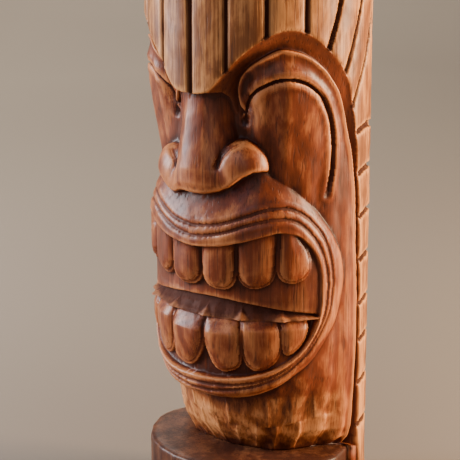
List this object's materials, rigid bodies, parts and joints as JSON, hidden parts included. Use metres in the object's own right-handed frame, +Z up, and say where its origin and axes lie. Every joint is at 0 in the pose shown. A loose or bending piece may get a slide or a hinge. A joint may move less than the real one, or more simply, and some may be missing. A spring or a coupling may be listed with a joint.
{
  "type": "carved wooden tiki head",
  "caption": "Free-standing carved timber tiki head with grooved hair and mane, brow rings, broad nose and an open mouth with carved teeth, on a screwed and dowelled foot block.",
  "frame": {"origin": "centre of the footprint, on the surface that the object stands on (the underside of the felt sheet)", "axes": "+Z up along the log's axis, the face looks along -Y, +X is the face's left ear (right of a viewer who faces it)"},
  "size_m": [0.133, 0.133, 0.4],
  "materials": {
    "stained_timber": "carved, stained and satin varnished",
    "dark_timber": "dark red-brown stain, satin varnish",
    "pale_timber": "bare hardwood",
    "zinc_steel": "zinc plated",
    "brown_felt": "pressed felt"
  },
  "bodies": {
    "root": {"carved_log": "stained_timber", "foot_block": "dark_timber", "lag_screw_left": "zinc_steel", "lag_screw_right": "zinc_steel", "washer_left": "zinc_steel", "washer_right": "zinc_steel", "dowel_left": "pale_timber", "dowel_right": "pale_timber", "felt_sheet": "brown_felt"}
  },
  "joints": []
}
